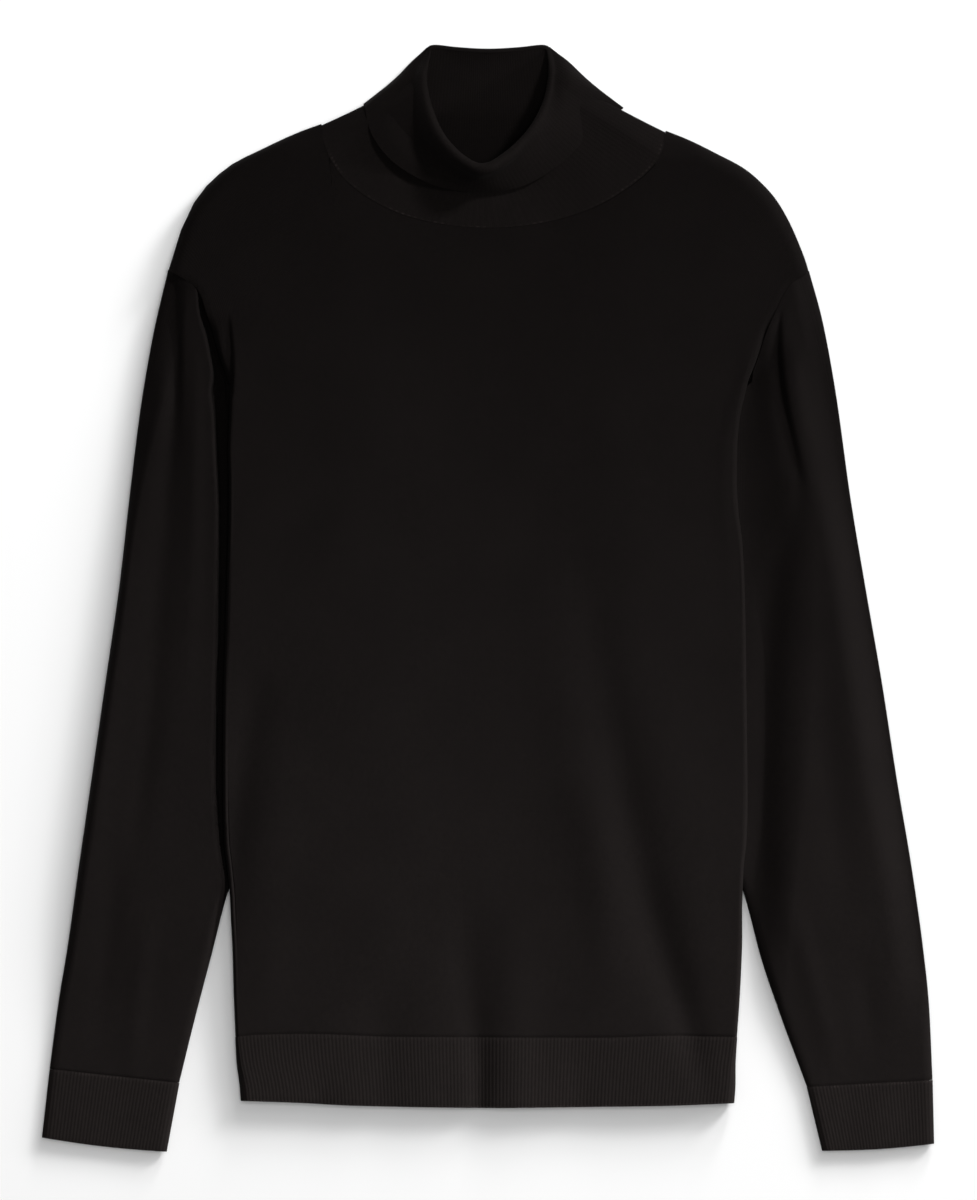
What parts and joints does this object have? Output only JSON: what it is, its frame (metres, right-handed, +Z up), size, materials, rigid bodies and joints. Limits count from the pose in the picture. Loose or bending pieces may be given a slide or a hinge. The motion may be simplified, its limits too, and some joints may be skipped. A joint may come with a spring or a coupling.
{
  "type": "turtleneck sweater",
  "caption": "Black fine-knit turtleneck sweater laid flat on its back, with its sides turned under and its rolled collar standing open.",
  "frame": {"origin": "middle of the sweater's bounding box at the surface it lies on", "axes": "+Z up from the surface, +Y up the sweater from the hem to the collar, +X to the right of a viewer who looks down on its front with the collar away from them"},
  "size_m": [0.6126, 0.7641, 0.0508],
  "materials": {
    "knit": "matt fine-gauge plain knit",
    "rib": "matt fine rib knit"
  },
  "bodies": {
    "root": {"front_panel": "knit", "back_panel": "knit", "hem_band_front": "rib", "hem_band_back": "rib", "sleeve_left": "knit", "sleeve_right": "knit", "cuff_left": "rib", "cuff_right": "rib", "collar": "rib"}
  },
  "joints": []
}
